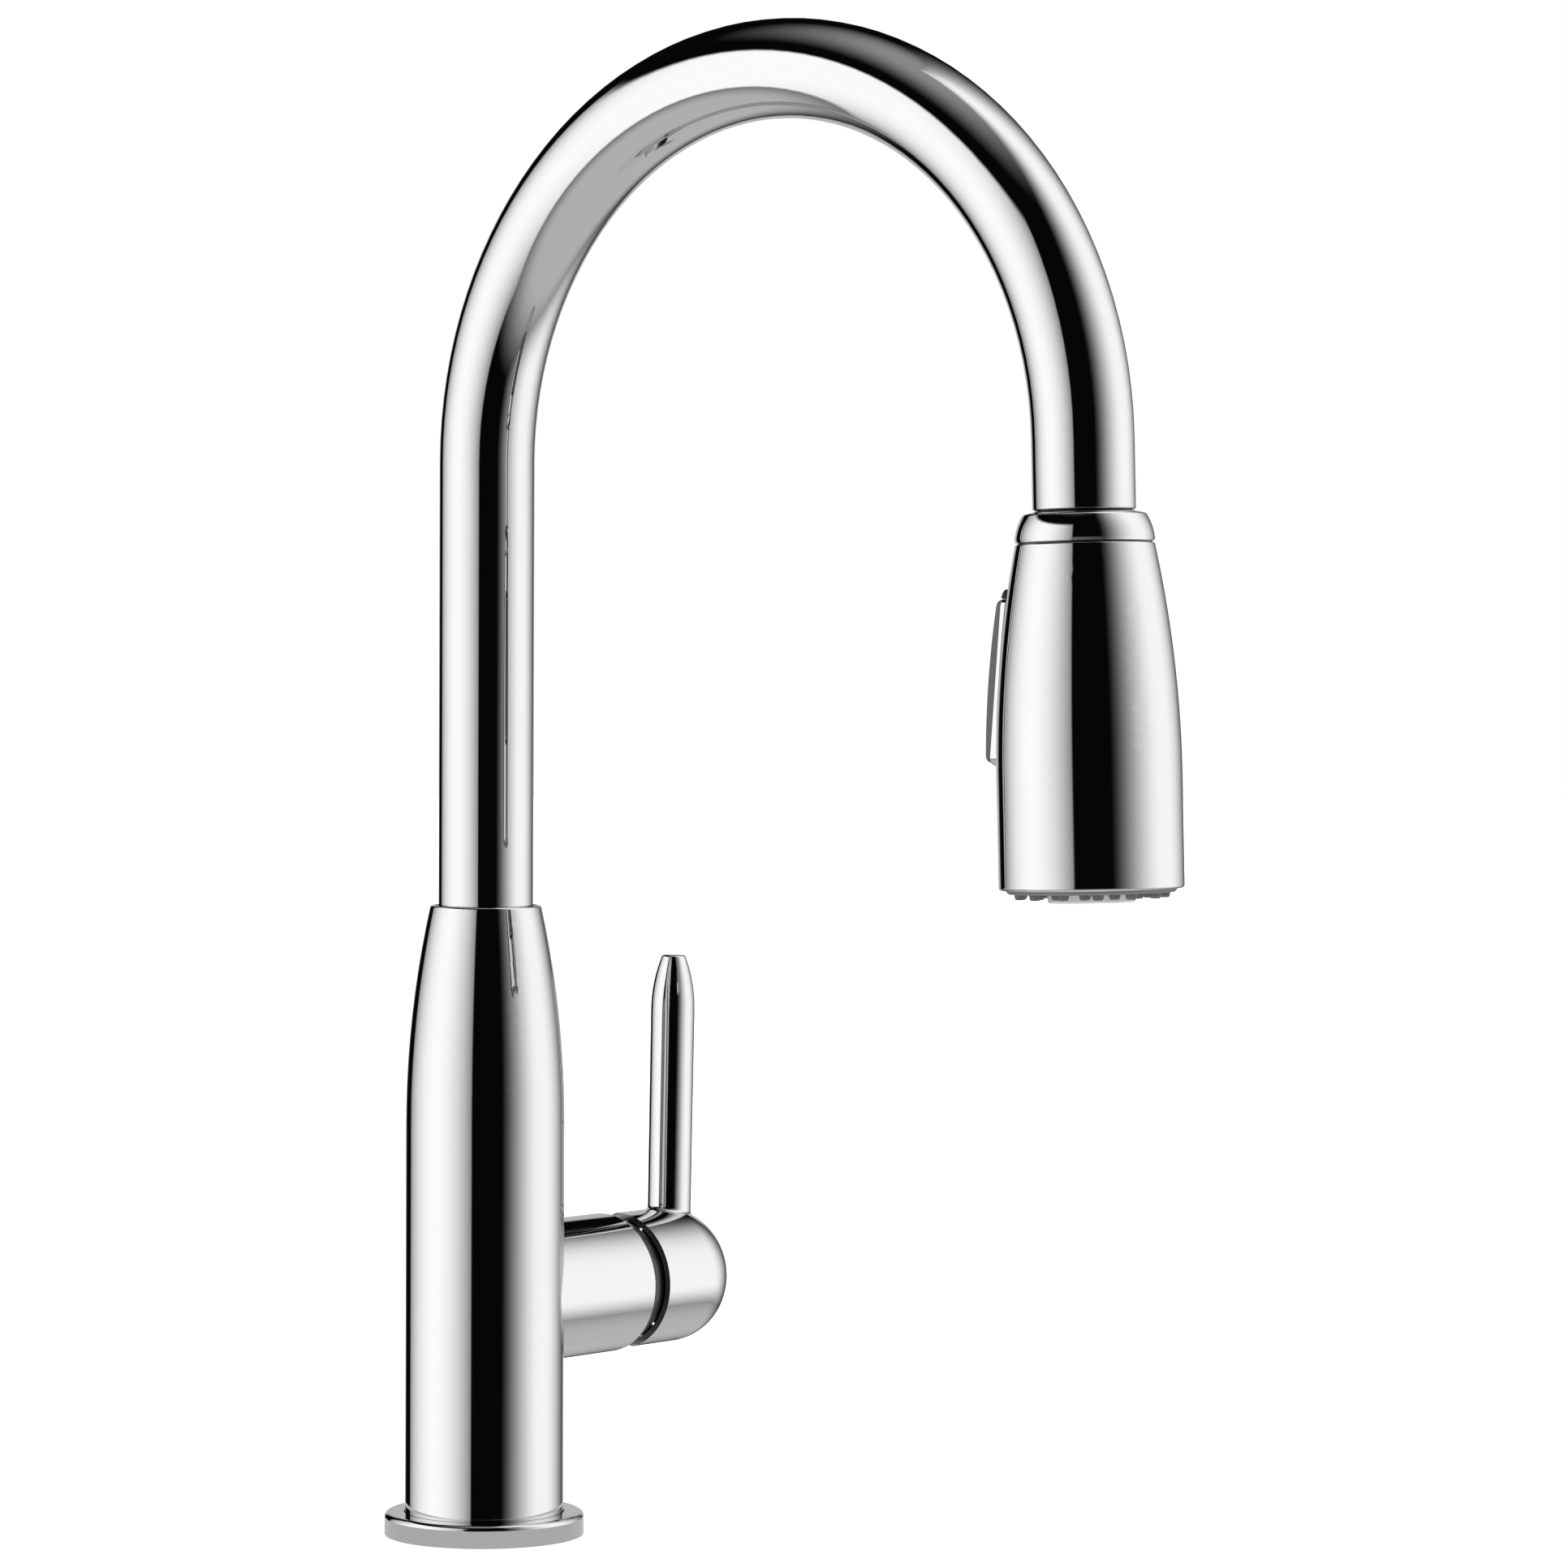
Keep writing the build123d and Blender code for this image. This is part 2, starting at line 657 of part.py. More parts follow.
def lever_rod():
    """Round lever with a bullet tip, along its own axis."""
    length = LEVER_TOP_Z - LEVER_FOOT_Z
    bullet = length - LEVER_TIP

    def bullet_radius(rise):
        return LEVER_R - LEVER_TIP_R + sqrt(LEVER_TIP_R**2 - rise**2)

    blade = turned_edges(
        line((0, 0), (LEVER_R - 0.1, 0)),
        line((LEVER_R - 0.1, 0), (LEVER_R, bullet)),
        arc(
            (LEVER_R, bullet),
            (bullet_radius(LEVER_TIP / 2), bullet + LEVER_TIP / 2),
            (bullet_radius(LEVER_TIP), length),
        ),
        line((bullet_radius(LEVER_TIP), length), (0, length)),
        line((0, length), (0, 0)),
    )
    rims = blade.edges().filter_by(GeomType.CIRCLE).sort_by(Axis.Z)
    return Pos(LEVER_X, 0, LEVER_FOOT_Z) * Rot(0, LEVER_LEAN, 0) * fillet(rims[-1:], 0.8)


def handle_casting():
    casting = dome() + lever_rod()
    foot = casting.edges().filter_by(lambda e: e.center().Z > HUB_Z + 12 and 66 < e.center().X < 84)
    casting = fillet([e for e in foot if e.center().Z < HUB_Z + 21 and e.length > 8], 1.2)
    socket = block(
        (HANDLE_CAVITY_END - 1, 76.5),
        (-STEM_WIDTH / 2 - 0.05, STEM_WIDTH / 2 + 0.05),
        (HUB_Z - STEM_HEIGHT / 2 - 0.05, HUB_Z + STEM_HEIGHT / 2 + 0.05),
    )
    screw_hole = Pos(71, 0, HUB_Z) * rod(2.6, -20, -1)
    return casting - socket - screw_hole


def handle_stem():
    half_w, half_h = STEM_WIDTH / 2, STEM_HEIGHT / 2
    bar = block((41.0, 76.0), (-half_w, half_w), (HUB_Z - half_h, HUB_Z + half_h))
    tail = HUB * rod(1.9, BALL_X, 41.5)
    ball = Pos(BALL_X, 0, HUB_Z) * Sphere(BALL_R)
    eye = Pos(PIVOT, 0, HUB_Z) * Rot(90, 0, 0) * Cylinder(1.55, 15.0)
    return bar + tail + ball - eye


def set_screw():
    screw = rod(2.55, -13.5, -3.5)
    hexagon = Pos(0, 0, -13.6) * extrude(RegularPolygon(1.45, 6), 3.6)
    return Pos(71, 0, HUB_Z) * (screw - hexagon)


def screw_plug():
    return Pos(71, 0, HUB_Z) * rod(2.55, -18.3, -16.6)


# ---- output -------------------------------------------------------------
NODES = [
    base_ring, base_gasket, mounting_shank, rubber_washer, steel_washer, mounting_nut,
    body_shell, valve_body, supply_nipples, port_seals, cartridge_base, fixed_disc,
    cartridge_housing, bonnet_nut, bonnet_cap, swivel_bush, neck_ring,
    cartridge_rotor, lift_pin, moving_disc, disc_carrier,
    handle_casting, handle_stem, set_screw, screw_plug,
    spout_tube, spout_foot, spout_o_rings, retaining_clip, dock_insert, dock_magnet, pull_hose,
    hose_ferrule, hose_stub, hose_tailpiece, check_valve,
    swivel_nut, wand_core, docking_ring, wand_collar, wand_shell, rocker_gasket, rocker_pin,
    spray_face, nozzle_pad, aerator_housing, aerator_screen, aerator_o_ring,
    rocker_button, rocker_pad, diverter_spool,
]

os.makedirs("parts", exist_ok=True)
for make in NODES:
    made = make()
    solids = made if isinstance(made, list) else [made]
    shape = Compound(children=[solid for piece in solids for solid in piece.solids()])
    export_step(shape, f"parts/{make.__name__}.step")
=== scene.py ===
import json
import math

import bmesh
import bpy
from mathutils import Matrix, Vector


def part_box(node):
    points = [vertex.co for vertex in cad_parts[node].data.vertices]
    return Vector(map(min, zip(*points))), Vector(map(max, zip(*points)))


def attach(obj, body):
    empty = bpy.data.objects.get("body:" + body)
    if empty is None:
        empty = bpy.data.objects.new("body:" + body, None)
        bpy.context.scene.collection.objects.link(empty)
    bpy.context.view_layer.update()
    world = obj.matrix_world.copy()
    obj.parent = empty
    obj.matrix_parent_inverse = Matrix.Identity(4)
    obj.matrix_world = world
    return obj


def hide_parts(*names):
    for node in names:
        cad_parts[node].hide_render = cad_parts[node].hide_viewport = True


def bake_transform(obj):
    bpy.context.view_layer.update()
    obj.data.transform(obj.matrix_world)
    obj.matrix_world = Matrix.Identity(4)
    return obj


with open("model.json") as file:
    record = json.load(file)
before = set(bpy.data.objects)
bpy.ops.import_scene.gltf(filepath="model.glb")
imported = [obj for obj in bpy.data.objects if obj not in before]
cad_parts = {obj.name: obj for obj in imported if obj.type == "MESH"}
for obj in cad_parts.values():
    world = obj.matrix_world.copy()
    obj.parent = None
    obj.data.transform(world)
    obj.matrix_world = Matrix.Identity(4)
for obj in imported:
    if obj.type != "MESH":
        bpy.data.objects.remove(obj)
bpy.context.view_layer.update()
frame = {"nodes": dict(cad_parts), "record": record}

# ---- the camera's place, in metres and degrees ---------------------------
CAMERA_HEADING = 39.698        # from +X towards +Y
CAMERA_PITCH = 1.74            # looking slightly down
CAMERA_ROLL = 0.26
CAMERA_DISTANCE = 1.51494
CAMERA_RIGHT = 0.07961         # offset of the view from the riser's axis
CAMERA_HEIGHT = 0.24745
CAMERA_LENS = 130.14           # in millimetres, as is the sensor
CAMERA_SENSOR = 36.0
CAMERA_FAR = 50.0

# ---- the studio, as the polished metal sees it ----------------------------
# A dark round room with plain soft boxes and a pale floor. Bearings run from the camera's side, positive
# to its right, and rises are above the level, in degrees. A box has its middle, its reach to each side
# and the width of its soft edge, each as (bearing, rise).
ROOM_RADIUS = 1.5
ROOM_HEIGHT = 0.2
ROOM_LEVEL = 0.003
PLATE_RADIUS = 0.065                   # the glowing disc near the base ring: a painted reflection of the floor in shade there
PLATE_HEIGHT = -0.0004
# The disc's fixed glow: painted grey for the shaded floor next to the base, as the polished metal mirrors it.
PAINTED_FLOOR_REFLECTION_LEVEL = 0.65
FLOOR_RADIUS = 6.0
FLOOR_HEIGHT = -0.0002
FLOOR_TONE = 0.9
FLOOR_GLOW = 0.6
LIGHT_PLACE = (-0.4, -0.6, 2.2)
LIGHT_SIZE = 2.5
LIGHT_POWER = 30.0                     # in watts
LEFT_BOX = {"middle": (-75, 5), "reach": (60, 35), "soften": (3, 5), "level": 1.6, "fall": 0.8}
RIGHT_BOX = {"middle": (95, 30), "reach": (70, 75), "soften": (65, 30), "level": 1.5, "fall": 0.0}
TOP_BOX = {"middle": (0, 90), "reach": (360, 40), "soften": (1, 35), "level": 0.4, "fall": 0.0}
BACK_BOX = {"middle": (180, 0), "reach": (25, 20), "soften": (10, 5), "level": 0.6, "fall": 0.0}
FLOOR_BOX = {"middle": (0, -90), "reach": (360, 75), "soften": (1, 30), "level": 0.7, "fall": 0.0}
CHROME_TINT = (0.60, 0.60, 0.605, 1.0)
MIDDLE_VALUES = (0.3, 0.7)             # a pattern's values between these spread over a whole range

# ---- the gooseneck's line and the fine detail, in metres, as in the CAD model --
ARCH_RADIUS = 0.099
RISER_TOP = 0.287
WAND_TILT = math.radians(1.83)
ARCH_END = Vector((
    0.0,
    -ARCH_RADIUS * (1 + math.cos(WAND_TILT)),
    RISER_TOP + ARCH_RADIUS * math.sin(WAND_TILT),
))
WAND_DOWN = Vector((0.0, -math.sin(WAND_TILT), -math.cos(WAND_TILT)))
WAND_TURN = Matrix.Rotation(-WAND_TILT, 4, "X")
HOSE_RADIUS = 0.0055
HOSE_BORE = 0.004
HOSE_REACH = 0.012             # past the arch's end, inside its ferrule
HOSE_SIDES = 48
ARCH_STEPS = 160
HOSE_END_STEPS = 12
BRAID_STRANDS = 18
BRAID_PITCH = 0.0021
SHANK_CREST = 0.0165
SHANK_BORE = 0.0145
SHANK_PILOT = 0.0157           # plain end below the thread
SHANK_PILOT_TOP = -0.0446
SHANK_BEVEL = 0.0005
SHANK_SEAT_FOOT = 0.003        # foot of the collar that sits in the body
THREAD_LOW = -0.0438
THREAD_HIGH = -0.0012
THREAD_PITCH = 0.0015
THREAD_DEPTH = 0.0007
THREAD_FLAT = 0.15             # how far crest and root are flattened
THREAD_ROWS = 8                # rings of the thread's mesh to a pitch
NUB_RINGS = ((0.0178, 13), (0.014, 12))        # ring radius, number of nubs
NUB_SIDES = 28
NUB_R = 0.0016
NUB_TIP_R = 0.00135
NUB_ROUND = 0.00055            # radius of the tip's rounding
NUB_OUTLET_R = 0.0005
NUB_FOOT = 0.1072              # this and the next three are distances down the wand
NUB_WAIST = 0.1108
NUB_END = 0.1126
NUB_OUTLET_TOP = 0.1090
PAD_RADII = (0.0109, 0.0204)
PAD_DEPTHS = (0.105, 0.10795)
ROUND_SIDES = 96               # of the shank, the pad and the studio's discs
BELOW_DECK = ("base_gasket", "rubber_washer", "steel_washer", "mounting_nut")


# ---- node helpers ---------------------------------------------------------
def maths(tree, operation, *values):
    """One Math node. A value is a number or a socket."""
    node = tree.nodes.new("ShaderNodeMath")
    node.operation = operation
    for socket, value in zip(node.inputs, values):
        if isinstance(value, (int, float)):
            socket.default_value = value
        else:
            tree.links.new(value, socket)
    return node.outputs["Value"]


def map_range(tree, value, source, target, smooth=False):
    """Carry one range to another, held at the ends."""
    node = tree.nodes.new("ShaderNodeMapRange")
    node.interpolation_type = "SMOOTHSTEP" if smooth else "LINEAR"
    node.inputs["From Min"].default_value = source[0]
    node.inputs["From Max"].default_value = source[1]
    node.inputs["To Min"].default_value = target[0]
    node.inputs["To Max"].default_value = target[1]
    tree.links.new(value, node.inputs["Value"])
    return node.outputs["Result"]


def noise(tree, scale, detail=2.0, stretch=(1.0, 1.0, 1.0)):
    """Noise in object space, finer along an axis that is stretched more."""
    mapping = tree.nodes.new("ShaderNodeMapping")
    mapping.inputs["Scale"].default_value = stretch
    tree.links.new(tree.nodes.new("ShaderNodeTexCoord").outputs["Object"], mapping.inputs["Vector"])
    texture = tree.nodes.new("ShaderNodeTexNoise")
    texture.inputs["Scale"].default_value = scale
    texture.inputs["Detail"].default_value = detail
    tree.links.new(mapping.outputs["Vector"], texture.inputs["Vector"])
    return texture.outputs["Fac"]


def bump(tree, shader, height, strength, distance):
    """Small relief from a height value."""
    node = tree.nodes.new("ShaderNodeBump")
    node.inputs["Strength"].default_value = strength
    node.inputs["Distance"].default_value = distance
    tree.links.new(height, node.inputs["Height"])
    tree.links.new(node.outputs["Normal"], shader.inputs["Normal"])


def new_material(name):
    """A node material, its tree and its shader."""
    material = bpy.data.materials.new(name)
    material.use_nodes = True
    return material, material.node_tree, material.node_tree.nodes["Principled BSDF"]


# ---- materials ------------------------------------------------------------
def chrome():
    material, tree, shader = new_material("polished_chrome")
    shader.inputs["Base Color"].default_value = CHROME_TINT
    shader.inputs["Metallic"].default_value = 1.0
    haze = map_range(tree, noise(tree, 60.0, 3.0), MIDDLE_VALUES, (0.012, 0.035))
    tree.links.new(haze, shader.inputs["Roughness"])
    return material


def tinted(tree, shader, value, dark, light):
    """Base colour between two colours."""
    mix = tree.nodes.new("ShaderNodeMix")
    mix.data_type = "RGBA"
    mix.inputs["A"].default_value = (*dark, 1.0)
    mix.inputs["B"].default_value = (*light, 1.0)
    tree.links.new(map_range(tree, value, MIDDLE_VALUES, (0, 1)), mix.inputs["Factor"])
    tree.links.new(mix.outputs["Result"], shader.inputs["Base Color"])


def moulded(name, dark, light, roughness, grain=2500.0, relief=0.00003):
    """Moulded plastic or rubber: a slight cloudiness and a fine matt grain."""
    material, tree, shader = new_material(name)
    tinted(tree, shader, noise(tree, 180.0, 3.0), dark, light)
    texture = noise(tree, grain, 4.0)
    tree.links.new(map_range(tree, texture, MIDDLE_VALUES, roughness), shader.inputs["Roughness"])
    bump(tree, shader, texture, 0.35, relief)
    return material


def machined(name, dark, light, roughness, stretch):
    """Bare metal with fine turning or brushing lines and slight tarnish."""
    material, tree, shader = new_material(name)
    shader.inputs["Metallic"].default_value = 1.0
    tinted(tree, shader, noise(tree, 90.0, 4.0), dark, light)
    lines = noise(tree, 60.0, 3.0, stretch)
    tree.links.new(map_range(tree, lines, MIDDLE_VALUES, roughness), shader.inputs["Roughness"])
    bump(tree, shader, lines, 0.3, 0.00002)
    return material


def rubber():
    return moulded("black_rubber", (0.008, 0.008, 0.008), (0.014, 0.014, 0.014), (0.55, 0.75))


def grey_rubber():
    return moulded("grey_silicone", (0.070, 0.068, 0.067), (0.080, 0.078, 0.077), (0.50, 0.65))


def face_plastic():
    return moulded("grey_plastic", (0.090, 0.088, 0.087), (0.102, 0.100, 0.098), (0.40, 0.55))


def aerator_plastic():
    return moulded("light_grey_plastic", (0.42, 0.415, 0.41), (0.46, 0.455, 0.45), (0.35, 0.5))


def black_plastic():
    dark, light = (0.004, 0.004, 0.0045), (0.008, 0.008, 0.009)
    return moulded("black_plastic", dark, light, (0.16, 0.24), 1800.0, 0.000008)


def white_plastic():
    return moulded("off_white_acetal", (0.70, 0.69, 0.66), (0.76, 0.75, 0.72), (0.40, 0.55))


def ceramic():
    return moulded("lapped_ceramic", (0.74, 0.72, 0.66), (0.86, 0.85, 0.80), (0.10, 0.18), 6000.0, 0.000004)


def brass():
    return machined("machined_brass", (0.62, 0.44, 0.18), (0.82, 0.64, 0.34), (0.20, 0.34), (1.0, 1.0, 60.0))


def steel():
    return machined("stainless_steel", (0.50, 0.50, 0.51), (0.66, 0.66, 0.67), (0.22, 0.36), (30.0, 1.0, 1.0))


def strand(tree, place):
    """Rounded height of one family of strands, a strand to each whole step of place."""
    return maths(tree, "ABSOLUTE", maths(tree, "SINE", maths(tree, "MULTIPLY", place, math.pi)))


def hose_braid():
    """Woven dark nylon braid with painted shade in its hollows: around the hose by its own map, along it by
    its straight end's axis.
    """
    material, tree, shader = new_material("hose_braid")
    mapping = tree.nodes.new("ShaderNodeMapping")
    mapping.vector_type = "TEXTURE"
    mapping.inputs["Location"].default_value = ARCH_END
    mapping.inputs["Rotation"].default_value = (-WAND_TILT, 0.0, 0.0)
    tree.links.new(tree.nodes.new("ShaderNodeTexCoord").outputs["Object"], mapping.inputs["Vector"])
    parts = tree.nodes.new("ShaderNodeSeparateXYZ")
    tree.links.new(mapping.outputs["Vector"], parts.inputs["Vector"])
    wrap = tree.nodes.new("ShaderNodeSeparateXYZ")
    tree.links.new(tree.nodes.new("ShaderNodeUVMap").outputs["UV"], wrap.inputs["Vector"])
    around = maths(tree, "MULTIPLY", wrap.outputs["X"], BRAID_STRANDS)
    along = maths(tree, "MULTIPLY", parts.outputs["Z"], 1 / BRAID_PITCH)
    right = maths(tree, "ADD", around, along)
    left = maths(tree, "SUBTRACT", around, along)
    right_strand = strand(tree, right)
    left_strand = strand(tree, left)
    crossing = maths(tree, "SINE", maths(tree, "MULTIPLY", maths(tree, "ADD", right, left), math.pi / 2))
    over = map_range(tree, crossing, (-1, 1), (0.6, 1.0))
    under = map_range(tree, crossing, (-1, 1), (1.0, 0.6))
    weave_height_and_shade = maths(tree, "MAXIMUM", maths(tree, "MULTIPLY", right_strand, over),
                  maths(tree, "MULTIPLY", left_strand, under))
    # Base colour darker where the weave is low: painted shade in the hollows between strands and where one
    # strand passes under another.
    tinted(tree, shader, weave_height_and_shade, (0.006, 0.006, 0.007), (0.050, 0.050, 0.053))
    tree.links.new(map_range(tree, weave_height_and_shade, (0, 1), (0.75, 0.45)), shader.inputs["Roughness"])
    bump(tree, shader, weave_height_and_shade, 0.8, 0.00025)
    return material


MAKERS = {
    "chrome": chrome,
    "rubber": rubber,
    "grey_rubber": grey_rubber,
    "brass": brass,
    "steel": steel,
    "black_plastic": black_plastic,
    "white_plastic": white_plastic,
    "ceramic": ceramic,
    "face_plastic": face_plastic,
    "aerator_plastic": aerator_plastic,
    "hose_braid": hose_braid,
}


def dress_nodes(materials):
    """Every CAD node gets the material of its slot in the record."""
    for entry in frame["record"]["subparts"]:
        node = frame["nodes"][entry["node"]]
        node.data.materials.clear()
        node.data.materials.append(materials[entry["material_slot"]])


# ---- pieces with fine shapes ------------------------------------------------
def grid_mesh(name, rows, closed_rows=False):
    """Skin over rows of points, each row a closed ring. The rows may close on themselves too."""
    mesh = bpy.data.meshes.new(name)
    points = [point for row in rows for point in row]
    sides = len(rows[0])
    faces = []
    for i in range(len(rows) if closed_rows else len(rows) - 1):
        first, second = i * sides, (i + 1) % len(rows) * sides
        for j in range(sides):
            k = (j + 1) % sides
            faces.append((first + j, first + k, second + k, second + j))
    mesh.from_pydata(points, [], faces)
    return mesh


def wrap_round(mesh, sides):
    """A map that runs from 0 to 1 round every ring of a skin, for the pattern on it."""
    layer = mesh.uv_layers.new(name="round")
    for face in mesh.polygons:
        start = face.index % sides
        for loop, step in zip(face.loop_indices, (0, 1, 1, 0)):
            layer.data[loop].uv = ((start + step) / sides, 0.0)


def finished(mesh, material, sharp=35.0):
    """An object from a mesh, welded, with its normals outwards and smooth but for its sharp edges."""
    form = bmesh.new()
    form.from_mesh(mesh)
    bmesh.ops.remove_doubles(form, verts=form.verts, dist=1e-7)
    bmesh.ops.recalc_face_normals(form, faces=form.faces)
    form.to_mesh(mesh)
    form.free()
    mesh.shade_smooth()
    mesh.set_sharp_from_angle(angle=math.radians(sharp))
    mesh.materials.append(material)
    obj = bpy.data.objects.new(mesh.name, mesh)
    bpy.context.scene.collection.objects.link(obj)
    return obj


def ring_points(radius, height, sides, centre=(0.0, 0.0)):
    """A closed ring of points about the vertical."""
    x, y = centre
    turns = [2 * math.pi * i / sides for i in range(sides)]
    return [(x + radius * math.cos(turn), y + radius * math.sin(turn), height) for turn in turns]


def hose_line():
    """The hose's middle line: places and its direction there, from the foot of the shank into its ferrule."""
    up = Vector((0, 0, 1))
    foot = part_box("pull_hose")[0][2]
    line = [(Vector((0, 0, foot)), up), (Vector((0, 0, RISER_TOP)), up)]
    sweep = math.pi - WAND_TILT
    for i in range(1, ARCH_STEPS + 1):
        turn = sweep * i / ARCH_STEPS
        place = Vector((0, -ARCH_RADIUS * (1 - math.cos(turn)), RISER_TOP + ARCH_RADIUS * math.sin(turn)))
        line.append((place, Vector((0, -math.sin(turn), math.cos(turn)))))
    for i in range(1, HOSE_END_STEPS + 1):
        line.append((ARCH_END + WAND_DOWN * HOSE_REACH * i / HOSE_END_STEPS, WAND_DOWN))
    return line


def rings_along(line, radius, sides):
    """Rings square to a line that stays over the Y axis."""
    across = Vector((1, 0, 0))
    turns = [2 * math.pi * j / sides for j in range(sides)]
    rows = []
    for place, along in line:
        up = along.cross(across)
        rows.append([place + radius * (math.cos(turn) * across + math.sin(turn) * up) for turn in turns])
    return rows


def make_hose(material):
    """Braided pull hose, with its bore."""
    line = hose_line()
    outside = rings_along(line, HOSE_RADIUS, HOSE_SIDES)
    inside = rings_along(line, HOSE_BORE, HOSE_SIDES)
    mesh = grid_mesh("braided_hose", outside + inside[::-1], closed_rows=True)
    wrap_round(mesh, HOSE_SIDES)
    hose = finished(mesh, material)
    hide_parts("pull_hose", "hose_stub")
    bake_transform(hose)


def groove(phase, height):
    """Depth of the thread's groove, which runs out at both ends."""
    fade = min(1.0, (height - THREAD_LOW) / THREAD_PITCH, (THREAD_HIGH - height) / THREAD_PITCH)
    shape = abs(2 * (phase % 1.0) - 1)
    share = (1 + 2 * THREAD_FLAT) * shape - THREAD_FLAT
    return THREAD_DEPTH * max(0.0, min(1.0, share)) * max(0.0, fade)


def thread_rows(sides):
    """Rings of the thread. Each climbs by a pitch in its turn and is held at the thread's ends."""
    count = int((THREAD_HIGH - THREAD_LOW) / THREAD_PITCH * THREAD_ROWS) + THREAD_ROWS + 1
    rows = []
    for i in range(-THREAD_ROWS, count):
        row = []
        for j in range(sides):
            share = j / sides
            turn = 2 * math.pi * share
            level = THREAD_LOW + (i + share * THREAD_ROWS) * THREAD_PITCH / THREAD_ROWS
            level = min(max(level, THREAD_LOW), THREAD_HIGH)
            radius = SHANK_CREST - groove((level - THREAD_LOW) / THREAD_PITCH - share, level)
            row.append((radius * math.cos(turn), radius * math.sin(turn), level))
        rows.append(row)
    return rows


def make_shank(material):
    """Mounting shank with its thread, between the deck and the plain end."""
    low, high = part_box("mounting_shank")
    seat = high[0]
    foot = (
        (SHANK_BORE, high[2]),
        (SHANK_BORE, low[2]),
        (SHANK_PILOT - SHANK_BEVEL, low[2]),
        (SHANK_PILOT, low[2] + SHANK_BEVEL),
        (SHANK_PILOT, SHANK_PILOT_TOP),
    )
    collar = ((SHANK_CREST, SHANK_SEAT_FOOT), (seat, SHANK_SEAT_FOOT), (seat, high[2]))
    rows = [ring_points(radius, height, ROUND_SIDES) for radius, height in foot]
    rows += thread_rows(ROUND_SIDES)
    rows += [ring_points(radius, height, ROUND_SIDES) for radius, height in collar]
    shank = finished(grid_mesh("threaded_shank", rows, closed_rows=True), material, sharp=50.0)
    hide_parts("mounting_shank")
    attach(shank, "root")
    return shank


def nub_rows(centre):
    """Rings of one spray nub, in the wand's own frame: tapered, with a rounded tip and a small outlet."""
    profile = [(NUB_R, NUB_FOOT), (NUB_R, NUB_WAIST)]
    steps = 6
    for i in range(steps + 1):
        turn = math.pi / 2 * i / steps
        radius = NUB_TIP_R - NUB_ROUND + NUB_ROUND * math.cos(turn)
        profile.append((radius, NUB_END - NUB_ROUND + NUB_ROUND * math.sin(turn)))
    profile += [(NUB_OUTLET_R, NUB_END), (NUB_OUTLET_R, NUB_OUTLET_TOP), (0.0, NUB_OUTLET_TOP)]
    return [ring_points(radius, -depth, NUB_SIDES, centre) for radius, depth in profile]


def make_nubs(material):
    """Spray nubs on their pad, through the spray face."""
    form = bmesh.new()
    for radius, count in NUB_RINGS:
        for i in range(count):
            turn = 2 * math.pi * i / count
            mesh = grid_mesh("nub", nub_rows((radius * math.cos(turn), radius * math.sin(turn))))
            form.from_mesh(mesh)
            bpy.data.meshes.remove(mesh)
    inner, outer = PAD_RADII
    top, bottom = PAD_DEPTHS
    corners = ((inner, -bottom), (outer, -bottom), (outer, -top), (inner, -top))
    pad = [ring_points(radius, height, ROUND_SIDES) for radius, height in corners]
    mesh = grid_mesh("pad", pad, closed_rows=True)
    form.from_mesh(mesh)
    bpy.data.meshes.remove(mesh)
    mesh = bpy.data.meshes.new("nozzle_nubs")
    form.to_mesh(mesh)
    form.free()
    mesh.transform(Matrix.Translation(ARCH_END) @ WAND_TURN)
    nubs = finished(mesh, material)
    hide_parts("nozzle_pad")
    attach(nubs, "wand")


# ---- studio ---------------------------------------------------------------
def direction_axes():
    """Level unit vectors to the camera's side and to its right."""
    heading = math.radians(CAMERA_HEADING)
    to_camera = Vector((-math.cos(heading), -math.sin(heading), 0))
    to_right = Vector((math.sin(heading), -math.cos(heading), 0))
    return to_camera, to_right


def studio_turn():
    """Turn that lays X to the camera's right and Y away from the camera."""
    return Matrix.Rotation(math.radians(CAMERA_HEADING - 90), 4, "Z")


def bearing(tree, parts):
    """Bearing of an object-space direction from the camera's side, in degrees, positive to its right."""
    towards = maths(tree, "MULTIPLY", parts.outputs["Y"], -1.0)
    return maths(tree, "DEGREES", maths(tree, "ARCTAN2", parts.outputs["X"], towards))


def soft_box(tree, turn, rise, middle, reach, soften, level, fall):
    """Light by direction: its level in the middle, lower by its fall at the sides, and soft at its edges."""
    offset = maths(tree, "WRAP", maths(tree, "SUBTRACT", turn, middle[0]), 180.0, -180.0)
    across = maths(tree, "ABSOLUTE", offset)
    along = maths(tree, "ABSOLUTE", maths(tree, "SUBTRACT", rise, middle[1]))
    sides = map_range(tree, across, (reach[0] - soften[0], reach[0]), (1, 0), smooth=True)
    ends = map_range(tree, along, (reach[1] - soften[1], reach[1]), (1, 0), smooth=True)
    share = maths(tree, "DIVIDE", across, reach[0])
    hot = maths(tree, "MULTIPLY_ADD", maths(tree, "MULTIPLY", share, share), -fall * level, level)
    return maths(tree, "MULTIPLY", hot, maths(tree, "MULTIPLY", sides, ends))


